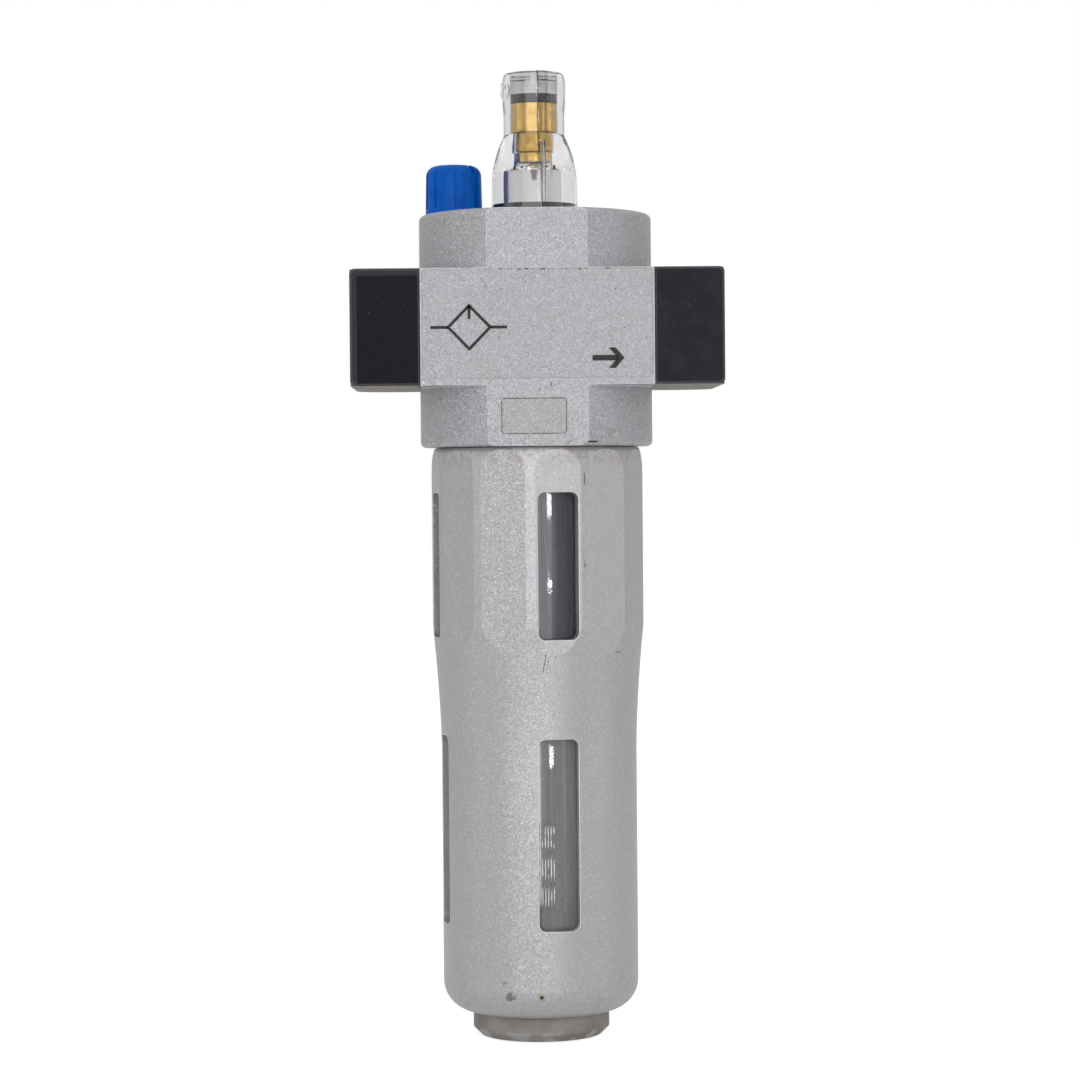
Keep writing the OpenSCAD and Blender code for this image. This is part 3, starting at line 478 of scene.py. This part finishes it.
def dome_riser_shade_and_dust(place):
    """The riser goes on up the neck as painted shade: a darker strip between two dark lines.
    Dust lies in the foot.
    """
    x, y, z = place.parts()
    x = x - AXIS_X / MM
    above = z.step(31.0, 32.0) * y.step(0.0, -1.0)
    # The riser's two edges and the strip between them are painted shade.
    strip = (x.between(RISER_LEFT - 0.10, RISER_LEFT + 0.10, 0.06)
             | x.between(RISER_RIGHT - 0.08, RISER_RIGHT + 0.08, 0.06)) * above
    between = x.between(RISER_LEFT, RISER_RIGHT, 0.1) * above
    dust = place.specks(1.6, 0.11, 0.04) * z.step(32.0, 26.0)
    return [(between * 0.25, grey(0.42)), (strip * 0.7, grey(0.16)), (dust * 0.8, grey(0.03))]


dress(clear_plastic("clear_dome", clearness=1.0, tint=(0.69, 0.68, 0.69, 1),
                    edge_on_shade=(0.26, 0.25, 0.26, 1), wave_mm=0.03, marks=dome_riser_shade_and_dust), "sight_dome")
dress(clear_plastic("clear_head", clearness=1.0, tint=(0.80, 0.80, 0.81, 1),
                    edge_on_shade=grey(0.5), wave_mm=0.02), "metering_head")
material, shader, place = new_finish("grey_seal")
feed(shader, "Base Color", place.noise(1.0, 3.0).blend(grey(0.020), grey(0.050)))
feed(shader, "Roughness", place.noise(2.0, 3.0) * 0.2 + 0.4)
dress(material, "dome_seal")

# Metering screw and drip jet: turned brass. The screw's needle closes the drip passage.
material, shader, place = new_finish("turned_brass", Metallic=1.0)
z = place.parts()[2]
groove = z * 40.0
lathe = groove.math("SINE", groove) * 0.5 + place.noise(3.0, 3.0)
brass = place.noise(0.7, 3.0).step(0.3, 0.7).blend((0.66, 0.40, 0.07, 1), (0.90, 0.60, 0.15, 1))
brass = (z.step(29.5, 29.0) * 0.8).blend(brass, (0.30, 0.27, 0.24, 1))
specks = place.specks(1.5, 0.10, 0.05) * 0.8
feed(shader, "Base Color", specks.blend(brass, (0.08, 0.05, 0.02, 1)))
feed(shader, "Roughness", place.noise(2.0, 3.0) * 0.12 + 0.14)
feed(shader, "Normal", lathe.bumped(0.004, place.rounded(0.1)))
dress(material, "metering_screw", "drip_jet")

# Oil pick-up: milky plastic tube and fittings, and a filter of sintered bronze.
material, shader, place = new_finish("milky_plastic", Transmission_Weight=0.2)
feed(shader, "Base Color", place.noise(0.6, 3.0).blend(grey(0.36), grey(0.50)))
feed(shader, "Roughness", place.noise(1.0, 3.0) * 0.2 + 0.3)
dress(material, "siphon_tube", "siphon_fitting", "venturi_sleeve")
material, shader, place = new_finish("filter_bronze", Metallic=0.8)
grain = place.cells(4.0)
feed(shader, "Base Color", grain.blend((0.20, 0.12, 0.06, 1), (0.42, 0.28, 0.14, 1)))
feed(shader, "Roughness", place.noise(3.0, 3.0) * 0.2 + 0.45)
feed(shader, "Normal", grain.bumped(0.08))
dress(material, "siphon_filter")

# Bowl: clear plastic with a smoky tint, with the shade inside its guard painted into its
# colour. A few fine upright ribs are moulded on its front, at the height of the lower window's
# foot.
def bowl_shade_and_streaks(place):
    """Painted shade: the bowl is darker at its upper window, most of all right of the tube.
    Its upright streaks are painted reflections.
    """
    x, y, z = place.parts()
    upper = z.step(-68.0, -56.0)
    right = (x - AXIS_X / MM).step(2.4, 3.4) * y.step(0.0, -2.0)
    reflection_streak = place.vector("MULTIPLY", (1.0, 1.0, 0.02)).noise(0.9, 4.0, 0.6).step(0.45, 0.62)
    return [(upper, (0.57, 0.59, 0.65, 1)), (upper * right * 0.7, (0.25, 0.25, 0.28, 1)),
            (reflection_streak * 0.34, (0.34, 0.34, 0.37, 1))]


dress(clear_plastic("smoky_bowl", clearness=0.86, tint=(0.90, 0.90, 0.92, 1),
                    edge_on_shade=(0.40, 0.41, 0.45, 1), wave_mm=0.007, marks=bowl_shade_and_streaks), "bowl")

# A rib is an upright bar: its four corners lie at two turns t round the bowl's axis, at
# radius (sin t, -cos t), with the radius a little inside and a little outside the wall.
RIBS_LOW, RIBS_HIGH, RIBS_RIGHT, RIB_COUNT = -100.9, -85.0, 2.15, 6
RIB_PITCH, RIB_WIDTH, RIB_SUNK, RIB_PROUD = 0.50, 0.18, 0.02, 0.06
bowl_radius = max(math.hypot(point.co.x - AXIS_X, point.co.y)
                  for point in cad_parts["bowl"].data.vertices
                  if point.co.z < RIBS_HIGH * MM) / MM
turn = np.arcsin((RIBS_RIGHT - RIB_PITCH * np.arange(RIB_COUNT)) / bowl_radius)
turn = turn[:, None] + np.array([-1, -1, 1, 1]) * RIB_WIDTH / 2 / bowl_radius
reach = bowl_radius + np.array([-RIB_SUNK, RIB_PROUD, RIB_PROUD, -RIB_SUNK])
across, behind = reach * np.sin(turn), -reach * np.cos(turn)
places = np.stack([np.stack([across, behind, np.full_like(across, height)], axis=2)
                   for height in (RIBS_LOW, RIBS_HIGH)], axis=1).reshape(-1, 3) * MM
side = np.arange(4)
after = np.roll(side, -1)
box = [*np.stack([side, after, after + 4, side + 4], axis=1), side[::-1], side + 4]
faces = [face + 8 * rib for rib in range(RIB_COUNT) for face in box]

# The ribs are clear but for three lengths painted white: painted glints of the lamps at three
# heights.
material, shader, place = new_finish("ribs_painted_glints", Roughness=0.25)
z = place.parts()[2]
painted_glints = z.between(-89.6, -85.8, 0.7) | z.between(-94.8, -91.2, 0.7) \
    | z.between(-99.5, -96.3, 0.7) * 0.9
painted_glints = painted_glints * place.vector("MULTIPLY", (1.0, 1.0, 0.35)).noise(1.3, 3.0).step(0.28, 0.50)
feed(shader, "Base Color", painted_glints.blend(grey(0.25), grey(1.0)))
feed(shader, "Alpha", painted_glints * 0.85 + 0.12)
ribs = new_piece("bowl_ribs", "bowl_drop_body", places + (AXIS_X, 0, 0), faces, material)


# Bowl guard: a drawn aluminium shell with eight windows, sprayed like the housing but
# paler and coarser. It is scratched below a window and knocked and grimy at its floor.
def scratch(x, z, top, foot, half_width):
    """1 on a straight scratch from top to foot, each given as (x, z), and 0 off it."""
    lean = (foot[0] - top[0]) / (foot[1] - top[1])
    away = abs(x - (z * lean + (top[0] - top[1] * lean)))
    return away.step(half_width, half_width * 0.4) * z.between(foot[1], top[1], 0.15)


def spot(x, z, centre, radius):
    """1 in a round spot with a soft rim."""
    across, up = x - centre[0], z - centre[1]
    return (across * across + up * up).step(radius ** 2, (0.5 * radius) ** 2)


def guard_marks(place):
    """Scratches, chips, specks and smudges of the guard, most of them at its front."""
    x, y, z = place.parts()
    x = x - AXIS_X / MM
    front = y.step(-2.0, -5.0)
    patch = place.noise(0.9, 5.0, 0.7)
    right = x.step(8.0, 13.0) * z.between(-72.0, -48.0, 5.0) * front
    specks = place.specks(1.1, 0.15, 0.03 + place.noise(0.12, 2.0).step(0.5, 0.75) * 0.10
                          + right * 0.25)
    beige = z.between(-23.5, -20.5, 1.2) * patch.step(0.45, 0.60) * 0.50
    floor_grime = z.between(-119.0, -112.0, 1.5) * patch.step(0.56, 0.64) * 0.4
    scuffs = spot(x, z, (1.5, -54.8), 1.7) * patch.step(0.50, 0.58) * front
    scratches = scratch(x, z, (0.98, -56.0), (0.45, -59.1), 0.13) \
        | scratch(x, z, (1.37, -56.7), (1.03, -58.9), 0.07) * 0.6
    dashes = x.between(13.1, 14.0, 0.1) * z.between(-56.15, -55.95, 0.05)
    chips = x.between(7.72, 7.95, 0.06) * (z.between(-27.4, -25.0, 0.3)
                                           | z.between(-41.3, -40.0, 0.2))
    marks = (scratches | dashes | chips * patch.step(0.42, 0.50)) * front
    smudge = (spot(x, z, (-5.5, -115.0), 1.1) | spot(x, z, (-6.5, -112.8), 0.5)
              | spot(x, z, (-6.3, -109.6), 0.4)) * patch.step(0.42, 0.52) * front
    knock_place = (-0.2, -115.0)
    knock = spot(x, z, knock_place, 0.9) * front
    return [(beige | floor_grime, (0.36, 0.32, 0.26, 1)), (scuffs * 0.5, (0.72, 0.72, 0.73, 1)),
            (knock * 0.6, (0.40, 0.34, 0.26, 1)), (smudge * 0.7, (0.10, 0.09, 0.08, 1)),
            (specks * 0.75, (0.07, 0.065, 0.06, 1)), (marks * 0.8, (0.11, 0.095, 0.085, 1)),
            (spot(x, z, knock_place, 0.4) * front, (0.01, 0.01, 0.01, 1))]


dress(silver_paint("guard_paint", tone=(0.487, 0.476, 0.488), metallic=0.50, flakes_per_mm=5.4,
                   glitter=0.65, edge_mm=0.28, marks=guard_marks), "bowl_guard")

# End nut: a bare casting that holds the bowl's stub in the guard's floor. Its lower edge
# is painted lighter in patches, rubbed where the lubricator has stood and partly a painted
# reflection.
material, shader, place = new_finish("nut_casting", Metallic=0.2)
grain = place.noise(2.4, 6.0, 0.72)
nut_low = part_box("end_nut")[0][2] / MM
near_floor = place.parts()[2].step(nut_low + 1.9, nut_low + 1.2)
# Lighter patches at the lower edge: rubbed wear, and partly a painted reflection.
rub_and_sheen = near_floor * place.noise(0.3, 3.0).step(0.50, 0.56)
casting = place.noise(0.2, 3.0).step(0.35, 0.7).blend((0.26, 0.24, 0.215, 1), (0.35, 0.33, 0.31, 1))
casting = (grain.step(0.56, 0.70) * 0.4).blend(casting, (0.18, 0.16, 0.14, 1))
feed(shader, "Base Color", rub_and_sheen.blend(casting, (0.44, 0.43, 0.43, 1)))
feed(shader, "Roughness", grain * 0.3 + 0.42 - rub_and_sheen * 0.15)
feed(shader, "Normal", grain.bumped(0.05, place.rounded(0.3)))
dress(material, "end_nut")


# The studio: a pale floor just under the nut, a plain white room and soft lamps. The room
# gives the object less light than the eye sees in it, and the lamps give the rest.
def lamp(name, place, target, size, power):
    """A rectangular soft lamp that faces the target."""
    light = bpy.data.lights.new(name, "AREA")
    light.shape = "RECTANGLE"
    light.size, light.size_y = size
    light.energy = power
    item = bpy.data.objects.new(name, light)
    item.matrix_world = look_at(place, target)
    bpy.context.scene.collection.objects.link(item)


centre = (AXIS_X, 0.0, -0.04)
lamp("front_panel", (AXIS_X - 0.14, -1.0, 0.10), centre, (1.0, 0.75), 3.8)
lamp("left_panel", (AXIS_X - 0.9, -0.3, 0.2), centre, (0.4, 0.8), 0.53)
lamp("right_panel", (AXIS_X + 0.9, -0.3, 0.2), centre, (0.4, 0.8), 0.70)
lamp("top_panel", (AXIS_X, -0.1, 0.9), centre, (0.8, 0.8), 1.0)

# Small strips, which the bowl's front and the dome mirror as short bright lines. Each has its
# height, how tall it is and its power.
STRIPS = [(-0.0954, 0.005, 0.006), (-0.052, 0.0035, 0.006), (-0.032, 0.006, 0.008),
          (0.041, 0.003, 0.006), (0.071, 0.003, 0.006)]
STRIP_TO_RIGHT, STRIP_IN_FRONT, STRIP_WIDTH = 0.066, 0.25, 0.024
for number, (height, tall, power) in enumerate(STRIPS):
    lamp("small_strip_%d" % number, (AXIS_X + STRIP_TO_RIGHT, -STRIP_IN_FRONT, height),
         (AXIS_X, 0.0, height), (STRIP_WIDTH, tall), power)

# The room's share of its full brightness, as light on the object and as seen in a mirror.
ROOM_LIGHT, ROOM_MIRRORED = 0.34, 0.70
world = bpy.data.worlds.new("room")
bpy.context.scene.world = world
world.use_nodes = True
room = world.node_tree.nodes["Background"]
room.inputs["Color"].default_value = (1, 1, 1, 1)


def seen(tree, for_light, mirrored):
    """1 where the eye looks, also through glass, less in a mirror and less still for light."""
    rays = tree.nodes.new("ShaderNodeLightPath").outputs
    direct, mirror, through = (Wire(tree, rays[name]) for name in
                               ("Is Camera Ray", "Is Glossy Ray", "Is Transmission Ray"))
    return direct | through | mirror * mirrored | for_light


feed(room, "Strength", seen(world.node_tree, ROOM_LIGHT, ROOM_MIRRORED))

FLOOR_REACH, FLOOR_BELOW = 4.0, 0.0002
floor_z = cad_low[2] - FLOOR_BELOW
floor_mesh = bpy.data.meshes.new("floor")
floor_mesh.from_pydata([(FLOOR_REACH * x, FLOOR_REACH * y, floor_z)
                        for x, y in ((-1, -1), (1, -1), (1, 1), (-1, 1))], [], [(0, 1, 2, 3)])
floor = bpy.data.objects.new("floor", floor_mesh)
bpy.context.scene.collection.objects.link(floor)
material, shader, place = new_finish("floor_paper", Roughness=0.9, Emission_Strength=1.0)
feed(shader, "Base Color", place.noise(0.01, 2.0).blend(grey(0.80), grey(0.83)))
shown = seen(material.node_tree, for_light=0.0, mirrored=0.5)
feed(shader, "Emission Color", shown.blend(grey(0.0), grey(0.76)))
floor.data.materials.append(material)
